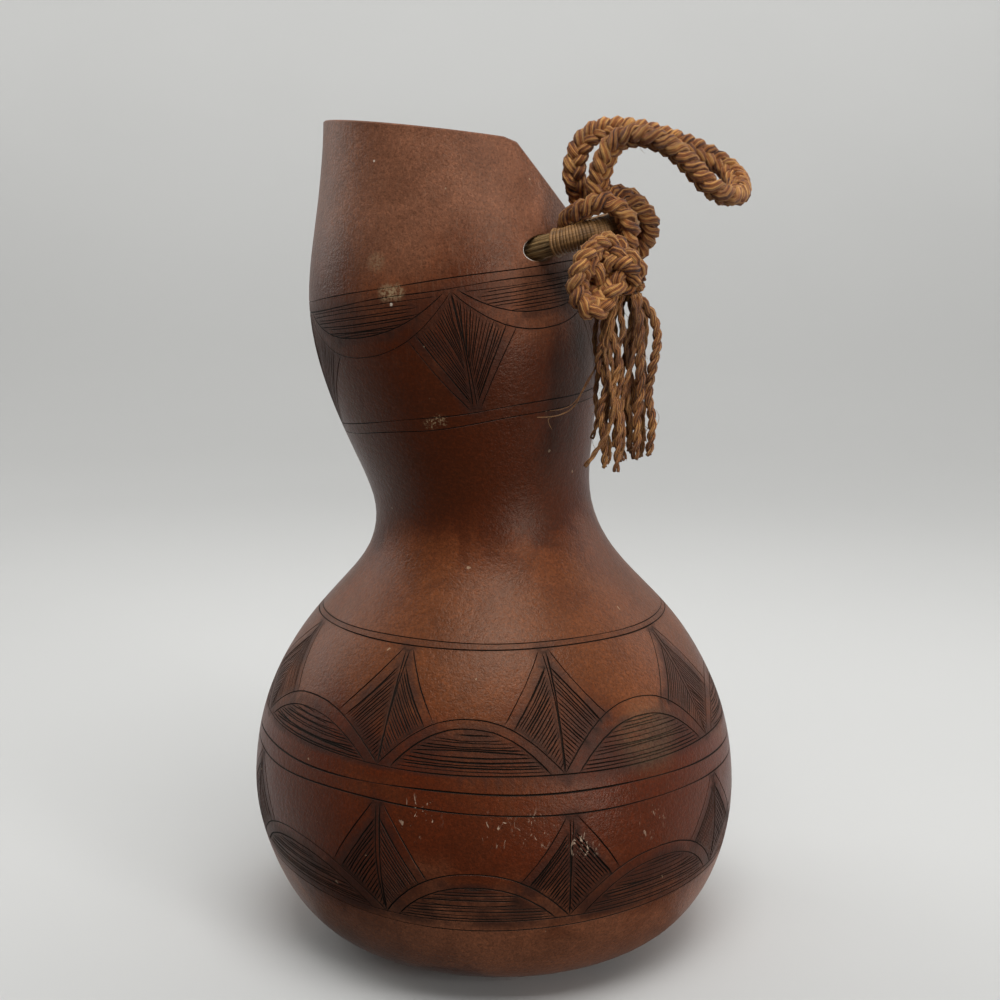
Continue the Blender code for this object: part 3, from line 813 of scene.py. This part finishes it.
def cane_binding(finish):
    """Cane strip wound on: each turn is a ring with a crowned profile, leaning by half its pitch."""
    path, flat = hoop_path(4000)
    arc = path[flat[:, 0] > WRAP_START][::8]
    total = lengths_along(arc)[-1]
    turns = int(total / WRAP_PITCH)
    crown = np.array([(0.0, -0.25), (0.10, -0.02), (0.28, 0.08), (0.5, 0.11), (0.72, 0.08), (0.90, -0.02)])
    draw = np.random.default_rng(4)
    width = 1 + draw.normal(0, 0.13, turns)
    starts = np.concatenate([[0], np.cumsum(width)]) * turns / width.sum()
    proud = draw.uniform(-0.07, 0.09, turns)
    proud[[0, -1]] += 0.42
    proud[[1, -2]] += 0.12
    place = (starts[:-1, None] + np.diff(starts)[:, None] * crown[:, 0]).ravel()
    height = (crown[:, 1] + proud[:, None] * (crown[:, 1] > -0.2)).ravel()
    line = smooth_curve(arc, 3000)
    spread = np.linspace(0, turns, 3000)
    line = np.stack([np.interp(place, spread, line[:, axis]) for axis in range(3)], -1)
    sides = 28
    turn = full_turn(sides)[None]
    wobble = 0.03 * np.sin(2 * turn + place[:, None] * 0.7)
    wobble = wobble + 0.025 * np.sin(3 * turn + place[:, None] * 1.9)
    reach = WRAP_RADIUS + MM * (height[:, None] + wobble)
    reach[[0, -1]] = CORE_RADIUS * 0.96
    ahead, _, _ = carried_frames(line)
    lean = 0.5 * WRAP_PITCH * np.cos(turn + 0.6)[..., None] * ahead[:, None]
    piece = tube_piece("cane_binding", [tube(line, reach) + lean], finish)
    mark = piece.data.attributes["yarn"]
    shade = np.repeat(draw.uniform(0, 1, turns), len(crown) * sides)
    # the grooves between turns get -0.9, which the strip's finish turns into painted shade
    groove = np.tile(np.repeat(np.where(crown[:, 1] < -0.2, -0.9, 0), sides), turns)
    mark.data.foreach_set("value", shade + groove)
    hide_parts("hoop_binding")


# Cord

def strand(path, radius, sides, lobes, twist, seed):
    """Tube of twisted yarns: radius * (1 + ridges that wind along it + slow swelling)."""
    draw = np.random.default_rng(seed)
    length = lengths_along(path)[:, None]
    turn = full_turn(sides)[None]
    phase = draw.uniform(0, 2 * np.pi, 3)
    spin = twist * length
    reach = 1 + 0.085 * np.cos(lobes * (turn + spin))
    reach = reach + 0.035 * np.cos(2 * (turn + spin) + phase[0])
    reach = reach + 0.05 * np.sin(length / (3.1 * MM) + phase[1])
    reach = reach + 0.03 * np.sin(length / (1.3 * MM) + phase[2])
    return tube(path, np.asarray(radius).reshape(-1, 1) * reach)


def hairs(strands, count, long, seed):
    """Fine loose fibres: each leaves a strand's surface outwards and bends over along it."""
    draw = np.random.default_rng(seed)
    share = np.linspace(0, 1, 7)[:, None]
    made = []
    for _ in range(count):
        rings = strands[draw.integers(len(strands))]
        i = draw.integers(1, len(rings) - 1)
        root = rings[i, draw.integers(rings.shape[1])]
        middle = rings[i].mean(0)
        out = unit(root - middle)
        along = unit(rings[i + 1].mean(0) - rings[i - 1].mean(0)) * draw.choice([-1, 1])
        size = long * draw.uniform(0.35, 1)
        drift = draw.normal(0, 0.35, 3)
        line = root - 0.3 * MM * out + size * (share * (0.75 * out + 0.5 * along + drift)
                                               + share ** 2 * (0.6 * along - 0.45 * out))
        made.append(tube(line, np.full((7, 3), draw.uniform(0.035, 0.07) * MM)))
    return made


def laid_yarn(route, radius, seed):
    """Two plies that wind about a route: each a strand half a radius off it, half a turn apart."""
    draw = np.random.default_rng(seed)
    total = lengths_along(smooth_curve(route, 200))[-1]
    count = int(total / (0.85 * MM)) + 4
    line = smooth_curve(route, count)
    length = lengths_along(line)[:, None]
    _, side, up = carried_frames(line)
    start = draw.uniform(0, 2 * np.pi)
    spin = 2 * np.pi / (draw.uniform(7, 9.5) * MM)
    taper = 1 - 0.3 * (length / total) ** 4
    plies = []
    for k in range(2):
        angle = start + spin * length + np.pi * k
        path = line + 0.5 * radius * (np.cos(angle) * side + np.sin(angle) * up)
        plies.append(strand(path, 0.60 * radius * taper, 14, 4, 420, seed + k))
    return plies


def plait(route, roll, seed):
    """Three strands along a route: (a sin p, b sin 2p) across it, a third of a repeat apart.

    roll turns the plait's flat face about its own line.
    """
    total = lengths_along(smooth_curve(route, 400))[-1]
    count = int(total / PLAIT_REPEAT * PLAIT_RINGS) + 2
    line = smooth_curve(route, count)
    length = lengths_along(line)
    _, side, up = carried_frames(line)
    flat = np.cos(roll) * side + np.sin(roll) * up
    thick = np.cos(roll) * up - np.sin(roll) * side
    strands = []
    for k in range(3):
        phase = (2 * np.pi * (length / PLAIT_REPEAT + k / 3))[:, None]
        path = line + PLAIT_REACH[0] * np.sin(phase) * flat + PLAIT_REACH[1] * np.sin(2 * phase) * thick
        strands.append(strand(path, STRAND_RADIUS, STRAND_SIDES, YARNS_IN_STRAND, YARN_TWIST, seed + k))
    return strands


def wrist_loop(finish):
    """The doubled loop from the hitch round and back into it."""
    strands = plait(LOOP_COURSE, 1.4, 10)
    piece = tube_piece("plaited_loop", strands + hairs(strands, 90, 2.6 * MM, 5), finish)
    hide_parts("rope_loop")
    return piece


def hitch(finish):
    """Two turns of the doubled plait round the hoop."""
    strands = plait(INNER_TURN, 0.3, 20) + plait(OUTER_TURN, 0.3, 30)
    piece = tube_piece("plaited_hitch", strands + hairs(strands, 50, 2.4 * MM, 6), finish)
    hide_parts("rope_hitch")
    return piece


def round_knot(finish):
    """The round knot: the plait along a trefoil that faces the front, and one lobe hanging lower."""
    t = np.linspace(0, 2 * np.pi, 60)
    flat = KNOT_SCALE * (2 + np.cos(3 * t))
    around = 2 * t + KNOT_TURN
    line = np.stack([flat * np.cos(around), -KNOT_DEPTH * np.sin(3 * t), flat * np.sin(around)], -1)
    strands = plait(KNOT_CENTRE + line, 0.5, 40) + plait(KNOT_LOBE, 1.3, 50)
    piece = tube_piece("round_knot", strands + hairs(strands, 60, 2.4 * MM, 7), finish)
    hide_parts("rope_knot")
    return piece


def loose_tassel(finish):
    """Unlaid yarns below the knot, each along its course, with stray fibres."""
    tubes = []
    for k, (radius, depth, course) in enumerate(YARNS):
        course = np.array(course)
        draw = np.random.default_rng(80 + k)
        sway = np.cumsum(draw.normal(0, 0.5, len(course)))
        sway[:2] = 0
        route = MM * np.stack([course[:, 0], depth + 0.6 * sway, course[:, 1]], -1)
        tubes += laid_yarn(route, radius * MM, 60 + 3 * k)
    for k, (radius, depth, course) in enumerate(STRAYS):
        course = np.array(course)
        route = np.stack([course[:, 0], np.full(len(course), depth), course[:, 1]], -1)
        line = smooth_curve(MM * route, 40)
        taper = 1 - 0.6 * np.linspace(0, 1, 40)[:, None] ** 2
        tubes.append(tube(line, radius * MM * taper * np.ones(6)))
    piece = tube_piece("loose_tassel", tubes + hairs(tubes[:2 * len(YARNS)], 130, 4.5 * MM, 9), finish)
    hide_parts("tassel")
    return piece


# Finishes

class Value:
    """A number in a shader: an expression on it adds the Math nodes that work it out."""

    def __init__(self, finish, socket):
        self.finish = finish
        self.socket = socket

    def math(self, operation, *terms):
        node = self.finish.tree.nodes.new("ShaderNodeMath")
        node.operation = operation
        for slot, term in zip(node.inputs, terms):
            self.finish.feed(slot, term)
        return Value(self.finish, node.outputs[0])

    def __add__(self, other):
        return self.math("ADD", self, other)

    def __sub__(self, other):
        return self.math("SUBTRACT", self, other)

    def __rsub__(self, other):
        return self.math("SUBTRACT", other, self)

    def __mul__(self, other):
        return self.math("MULTIPLY", self, other)

    __radd__ = __add__
    __rmul__ = __mul__

    def between(self, low, high):
        """0 below low, 1 above high, and a smooth rise between them."""
        node = self.finish.node("MapRange", {"interpolation_type": "SMOOTHSTEP"},
                                {"Value": self, "From Min": low, "From Max": high})
        return Value(self.finish, node.outputs["Result"])

    def cos(self):
        return self.math("COSINE", self)

    def sin(self):
        return self.math("SINE", self)


class Finish:
    """A material: node() adds any node but Math, and the rest are short names for common ones."""

    def __init__(self, name):
        self.material = bpy.data.materials.new(name)
        self.material.use_nodes = True
        self.tree = self.material.node_tree
        self.shader = self.tree.nodes["Principled BSDF"]
        self.place = self.node("TexCoord").outputs["Object"]

    def feed(self, slot, value):
        if isinstance(value, Value):
            value = value.socket
        if isinstance(value, bpy.types.NodeSocket):
            self.tree.links.new(value, slot)
        elif slot.type == "RGBA":
            slot.default_value = (*value, 1)
        else:
            slot.default_value = value

    def node(self, kind, settings=None, sockets=None):
        made = self.tree.nodes.new("ShaderNode" + kind)
        for key, value in (settings or {}).items():
            setattr(made, key, value)
        for key, value in (sockets or {}).items():
            self.feed(made.inputs[key], value)
        return made

    def noise(self, scale, detail=2.0, rough=0.5, at=None, bend=0.0):
        """Noise of a scale per metre, or per unit of another place."""
        sockets = {"Vector": at or self.place, "Scale": scale, "Detail": detail,
                   "Roughness": rough, "Distortion": bend}
        return Value(self, self.node("TexNoise", None, sockets).outputs["Fac"])

    def stretched(self, scale, at=None):
        """The place, stretched along each axis."""
        made = self.node("VectorMath", {"operation": "MULTIPLY"}, {0: at or self.place, 1: scale})
        return made.outputs["Vector"]

    def near(self, spot, reach):
        """1 at a spot of the object, falling to 0 at its reach."""
        made = self.node("VectorMath", {"operation": "DISTANCE"}, {0: self.place, 1: spot})
        return 1 - Value(self, made.outputs["Value"]).between(0.35 * reach, reach)

    def spots(self, marks, limit, texture=None):
        """Sum of spots, up to a limit: each has its place, reach, strength and, where a texture
        breaks it up, the two values between which that texture starts and fills it."""
        total = sum(self.near(spot, reach) * strength * (texture.between(*edges) if edges else 1)
                    for spot, reach, strength, *edges in marks)
        return total.math("MINIMUM", total, limit)

    def mark(self, name):
        """A number that the mesh carries."""
        return Value(self, self.node("Attribute", {"attribute_name": name}).outputs["Fac"])

    def mix(self, share, first, second, blend="MIX"):
        settings = {"data_type": "RGBA", "blend_type": blend}
        return self.node("Mix", settings, {0: share, 6: first, 7: second}).outputs[2]

    def bump(self, height, size, strength=1.0):
        """Normal of a relief whose height of 1 stands for size metres."""
        sockets = {"Height": height, "Distance": size, "Strength": strength}
        return self.node("Bump", None, sockets).outputs["Normal"]

    def finished(self, colour, roughness, normal, **constants):
        self.feed(self.shader.inputs["Base Color"], colour)
        self.feed(self.shader.inputs["Roughness"], roughness)
        self.feed(self.shader.inputs["Normal"], normal)
        for name, value in constants.items():
            self.shader.inputs[name.replace("_", " ")].default_value = value
        return self.material


# Colour of the rind by height, partly its own tone and partly painted light: the light band at
# the foot is painted floor reflection, the light shoulder and top bands are painted sheen, and
# the dark band at the neck and under the upper bulb is painted shade. Each band: from and up to
# where it comes in, from and up to where it goes, its colour and its share
TONE_AND_LIGHT_BANDS = [
    ((0.002, 0.010), (0.026, 0.058), (0.300, 0.112, 0.055), 0.62),
    ((0.030, 0.060), (0.074, 0.104), (0.080, 0.0110, 0.0018), 0.80),
    ((0.082, 0.112), (0.122, 0.150), (0.155, 0.047, 0.0140), 0.66),
    ((0.140, 0.155), (0.200, 0.222), (0.056, 0.0095, 0.0020), 0.86),
    ((0.215, 0.255), (0.400, 0.500), (0.235, 0.104, 0.060), 0.66),
]

# Single marks on the rind, each as place, reach, strength and the edges of the noise in it
# Painted shadow that the knot and hoop cast on the rind: place, reach and strength of each spot
KNOT_SHADOW = [
    ((0.0275, -0.0290, 0.2250), 0.014, 1),
    ((0.0300, -0.0240, 0.2100), 0.013, 1),
    ((0.0315, -0.0200, 0.1960), 0.012, 0.8),
]
SMEARS = [
    ((-0.0363, -0.0417, 0.2339), 0.0042, 0.45, 0.35, 0.65),
    ((-0.0332, -0.0442, 0.2245), 0.0036, 0.75, 0.38, 0.60),
    ((-0.0300, -0.0455, 0.2248), 0.0036, 0.75, 0.38, 0.60),
    ((-0.0169, -0.0432, 0.1847), 0.0030, 0.8, 0.50, 0.60),
    ((-0.0201, -0.0423, 0.1837), 0.0026, 0.8, 0.50, 0.60),
    ((0.0480, -0.0590, 0.0870), 0.0160, 0.20, 0.25, 0.75),
]
SCUFFS = [
    ((-0.0226, -0.0796, 0.0682), 0.0085, 1),
    ((0.0013, -0.0830, 0.0655), 0.0075, 0.7),
    ((0.0131, -0.0820, 0.0651), 0.0075, 0.7),
    ((0.0275, -0.0788, 0.0592), 0.0070, 0.7),
    ((0.0493, -0.0671, 0.0622), 0.0070, 0.6),
]
DOTS = [
    ((-0.0370, -0.0354, 0.2646), 0.0005, 1),
    ((-0.0316, -0.0450, 0.2210), 0.0007, 1, 0.3, 0.5),
]
# Painted highlight: a near-white line on the cut face at the hole's left edge, where it catches the light:
# place and reach
HOLE_EDGE_HIGHLIGHT = ((0.0082, -0.0400, 0.2362), 0.0055)


def rind_finish():
    """Dark red-brown rind: cloudy stain, fine pores, rubbed sheen, sooty cuts and pale flecks, with
    painted light in its colour: sheen, shade and floor reflection in bands by height, sparkle in
    fine speckles, a shadow by the knot and a highlight on a hole's edge.
    """
    f = Finish("dark gourd rind")
    kind = f.mark("kind")
    cut = f.mark("cut").between(0.0, 0.11)
    soot = f.noise(95, 3, 0.6).between(0.30, 0.62)
    close = f.mark("close").between(2.8, 7.5)
    split = f.node("SeparateXYZ", None, {0: f.place})
    height = Value(f, split.outputs["Z"])
    cloud = f.noise(22, 3, 0.55).between(0.32, 0.68)
    patch = f.noise(75, 4, 0.6, bend=0.6).between(0.3, 0.7)
    pores = f.noise(1500, 2, 0.6)
    grain = f.noise(520, 3, 0.6)
    brushed = f.noise(60, 4, 0.65, at=f.stretched((22, 22, 1.2)))
    upper = height.between(0.18, 0.25)
    sway = height + (cloud - 0.5) * 0.020 + (patch - 0.5) * 0.008
    colour = f.mix(cloud, (0.080, 0.0185, 0.0058), (0.150, 0.040, 0.0125))
    # bands by height: the rind's tone mixed with painted floor reflection, painted sheen and painted shade
    for (start, risen), (falling, end), tint, share in TONE_AND_LIGHT_BANDS:
        zone = sway.between(start, risen) * (1 - sway.between(falling, end))
        colour = f.mix(zone * share, colour, tint)
    colour = f.mix(patch * 0.34, colour, (0.048, 0.0125, 0.0045))
    # fine light speckles: partly the rind's mottling, partly painted sparkle of its sheen
    speckle_and_sheen = f.noise(950, 3, 0.65)
    colour = f.mix(speckle_and_sheen.between(0.42, 0.70) * 0.42, colour, (2.0, 1.95, 1.85), "MULTIPLY")
    colour = f.mix((1 - pores.between(0.34, 0.5)) * 0.38, colour, (0.035, 0.010, 0.004))
    colour = f.mix(brushed.between(0.52, 0.78) * upper * 0.30, colour, (0.26, 0.14, 0.085))
    colour = f.mix(close * (0.22 + 0.50 * soot) * (1 - 0.55 * upper), colour, (0.030, 0.0105, 0.0075))
    worn = 1 - f.noise(130, 3, 0.6).between(0.60, 0.74) * 0.55
    colour = f.mix(cut * worn, colour, (0.0065, 0.0035, 0.0024))
    # painted shadow of the knot and hoop, darkening the rind beside them
    colour = f.mix(f.spots(KNOT_SHADOW, 1) * 0.62, colour, (0.018, 0.007, 0.0045))
    smear = f.noise(1300, 4, 0.7)
    colour = f.mix(f.spots(SMEARS, 0.9, smear), colour, (0.33, 0.225, 0.125))
    scratch = f.noise(420, 3, 0.6, at=f.stretched((1, 1, 0.45)), bend=1.5).between(0.60, 0.66)
    colour = f.mix(scratch * f.spots(SCUFFS, 1), colour, (0.52, 0.38, 0.27))
    speck = f.noise(330, 1, 0.5).between(0.80, 0.815)
    colour = f.mix(speck * 0.55, colour, (0.42, 0.29, 0.18))
    colour = f.mix(f.spots(DOTS, 1, smear) * 0.7, colour, (0.75, 0.66, 0.54))
    fibre = f.noise(300, 4, 0.7, at=f.stretched((1, 1, 0.25)))
    face = f.mix(fibre.between(0.3, 0.7), (0.11, 0.050, 0.024), (0.24, 0.13, 0.065))
    lining = f.mix(fibre.between(0.3, 0.72), (0.075, 0.040, 0.020), (0.17, 0.100, 0.050))
    bare = kind.between(0.4, 0.6)
    colour = f.mix(bare, colour, face)
    colour = f.mix(kind.between(1.4, 1.6), colour, lining)
    # painted highlight on the bare edge of the hole
    colour = f.mix(f.near(*HOLE_EDGE_HIGHLIGHT) * bare * 0.9, colour, (0.80, 0.75, 0.68))
    rough = 0.25 + 0.08 * cloud + 0.16 * grain + 0.14 * close + 0.25 * cut + 0.35 * bare
    relief = (pores - 0.5) * 0.8 + (grain - 0.5) * 1.1 + brushed * upper * 0.6 + fibre * bare * 4
    normal = f.bump(relief, 0.00019, 0.9)
    return f.finished(colour, rough, normal, Specular_IOR_Level=0.25, Specular_Tint=(1, 0.84, 0.70, 1))


def fibre_streaks(f, twist, fine):
    """Place for seamless streaks on a tube, wound round by the twist, and its two coordinates."""
    place = f.node("UVMap", {"uv_map": "UVMap"}).outputs[0]
    split = f.node("SeparateXYZ", None, {0: place})
    along, turn = Value(f, split.outputs[0]), Value(f, split.outputs[1])
    angle = (turn + along * twist) * (2 * np.pi)
    sockets = {0: angle.cos() * fine, 1: angle.sin() * fine, 2: along}
    return f.node("CombineXYZ", None, sockets).outputs[0], along, turn


def cord_finish(name, light, middle, dark):
    """Twisted plant fibre in golden and red-brown tones with streaks along the yarns; the ridges of
    its yarns are lightened as painted highlight and the furrows and fine gaps darkened as painted shade.
    """
    f = Finish(name)
    twist = YARN_TWIST / (2 * np.pi * 100)
    at, along, turn = fibre_streaks(f, twist, 3.4)
    ridge = ((turn + along * twist) * (2 * np.pi * YARNS_IN_STRAND)).cos() * 0.5 + 0.5
    streak = f.noise(1.6, 4, 0.65, at=at)
    fine = f.noise(5.5, 3, 0.6, at=f.stretched((1, 1, 0.22), at))
    yarn = f.mark("yarn")
    tone = f.noise(210, 3, 0.6)
    stain = f.noise(62, 3, 0.6)
    # ridge gives painted highlight on the yarns' crowns and painted shade in their furrows; the rest is
    # the fibre's own tone
    share = ridge * 0.30 + streak.between(0.30, 0.70) * 0.38
    share = share + tone.between(0.3, 0.7) * 0.24 + yarn * 0.12
    colour = f.mix(share.between(0.14, 0.52), dark, middle)
    colour = f.mix(share.between(0.44, 0.80), colour, light)
    colour = f.mix(stain.between(0.46, 0.62) * 0.55, colour, (0.52, 0.52, 0.60), "MULTIPLY")
    # painted shade in the gaps between fine fibres, where their relief is low
    colour = f.mix((1 - fine.between(0.38, 0.54)) * 0.70, colour, dark)
    normal = f.bump(ridge * 0.35 + streak * 0.7 + fine * 0.9, 0.0006)
    return f.finished(colour, 0.55 + 0.2 * fine, normal, Specular_IOR_Level=0.3, Sheen_Weight=0.12,
                      Sheen_Roughness=0.4)


def cane_finish(name, light, dark, twist, fine, rough):
    """Split cane: long streaks, stained darker in places, and painted shade where the mark is below zero,
    as in the grooves between a strip's turns.
    """
    f = Finish(name)
    at, _, _ = fibre_streaks(f, twist, fine)
    streak = f.noise(1.5, 4, 0.6, at=f.stretched((1, 1, 0.4), at))
    stain = f.noise(160, 3, 0.6)
    shade = f.mark("yarn")
    share = streak.between(0.3, 0.7) * 0.6 + shade * 0.4
    colour = f.mix(share.between(-0.05, 1), dark, light)
    colour = f.mix(stain.between(0.5, 0.75) * 0.5, colour, tuple(0.45 * np.array(dark)))
    # painted shade in the grooves between the strip's turns
    colour = f.mix((0 - shade).between(0.0, 0.6) * 0.75, colour, tuple(0.25 * np.array(dark)))
    normal = f.bump(streak, 0.0003, 0.8)
    return f.finished(colour, rough + 0.15 * streak, normal, Specular_IOR_Level=0.35)


def backdrop_finish():
    """Plain pale card, faintly uneven, with a band of painted shade round the object."""
    f = Finish("pale card")
    cloud = f.noise(2.2, 2, 0.5)
    away = Value(f, f.node("VectorMath", {"operation": "LENGTH"}, {0: f.place}).outputs["Value"])
    # painted shade: a darker band on the far floor and the foot of the wall
    band = away.between(0.30, 0.95) * (1 - away.between(1.6, 2.9))
    colour = f.mix(cloud.between(0.3, 0.7) * 0.5, (0.62, 0.62, 0.608), (0.59, 0.59, 0.578))
    colour = f.mix(band * 0.62, colour, (0.36, 0.36, 0.352))
    return f.finished(colour, 0.85 + 0.05 * cloud, f.bump(f.noise(900, 2), 0.00005, 0.3))


# Studio

def sweep(name, first, last, card):
    """Floor and the wall that it bends up into, turned about the object between two angles."""
    arc = np.linspace(0, np.pi / 2, 24)
    bend = SWEEP_FLOOR + SWEEP_BEND * np.sin(arc)
    out = np.concatenate([[0.001, 0.3], bend, bend[-1:]])
    z = np.concatenate([[0, 0], SWEEP_BEND * (1 - np.cos(arc)), [SWEEP_TOP]])
    turn = np.linspace(first, last, SWEEP_STEPS + 1)[:, None]
    points = np.stack(np.broadcast_arrays(out * np.sin(turn), out * np.cos(turn), z), -1)
    i, j = np.meshgrid(np.arange(SWEEP_STEPS), np.arange(len(z) - 1), indexing="ij")
    low = i * len(z) + j
    quads = np.stack([low, low + len(z), low + len(z) + 1, low + 1], -1).reshape(-1, 4)
    mesh = bpy.data.meshes.new(name)
    mesh.from_pydata(points.reshape(-1, 3).tolist(), [], quads.tolist())
    part = add_mesh(name, mesh, card)
    return part


def softbox(name, place, aim, size, power):
    """A lamp that shines from a rectangle towards a point."""
    light = bpy.data.lights.new(name, "AREA")
    light.shape = "RECTANGLE"
    light.size, light.size_y = size
    light.energy = power
    lamp = add_object(name, light)
    lamp.location = place
    lamp.rotation_euler = (Vector(aim) - Vector(place)).to_track_quat("-Z", "Y").to_euler()
    lamp.visible_camera = False


def studio():
    """Camera, pale floor that sweeps up all round, and soft light."""
    scene = bpy.context.scene
    camera = bpy.data.cameras.new("camera")
    camera.lens = CAMERA_LENS
    camera.sensor_width = 36
    camera.clip_end = 20
    eye = add_object("camera", camera)
    eye.location = CAMERA_PLACE
    eye.rotation_euler = (np.radians(90 - CAMERA_PITCH), 0, 0)
    scene.camera = eye
    card = backdrop_finish()
    sweep("backdrop behind", -SWEEP_END, SWEEP_END, card)
    front = sweep("backdrop before", SWEEP_END, 2 * np.pi - SWEEP_END, card)
    front.visible_glossy = False
    front.visible_diffuse = False
    for name, (place, aim, size, power) in LIGHTS.items():
        softbox(name, place, aim, size, power)
    world = bpy.data.worlds.new("studio")
    world.use_nodes = True
    background = world.node_tree.nodes["Background"].inputs
    background["Color"].default_value = (*WORLD_COLOUR, 1)
    background["Strength"].default_value = WORLD_STRENGTH
    scene.world = world
    scene.view_settings.view_transform = "Standard"


studio()
# cord colours light, middle and dark; the dark one is also the painted shade of furrows and gaps
fibre = cord_finish("plaited fibre", (0.86, 0.43, 0.125), (0.45, 0.140, 0.030), (0.034, 0.010, 0.008))
loop_piece = wrist_loop(fibre)
knot_pieces = [hitch(fibre), round_knot(fibre), loose_tassel(fibre)]
lengths_along(smooth_curve(LOOP_COURSE, 400))[-1]
[tuple(p) for p in smooth_curve(LOOP_COURSE, 60)]
gourd_skin(rind_finish())
cane_core(cane_finish("split cane", (0.46, 0.285, 0.115), (0.055, 0.034, 0.014), 0.02, 7.0, 0.6))
cane_binding(cane_finish("cane strip", (0.33, 0.170, 0.060), (0.11, 0.056, 0.020), 0.0, 4.0, 0.45))
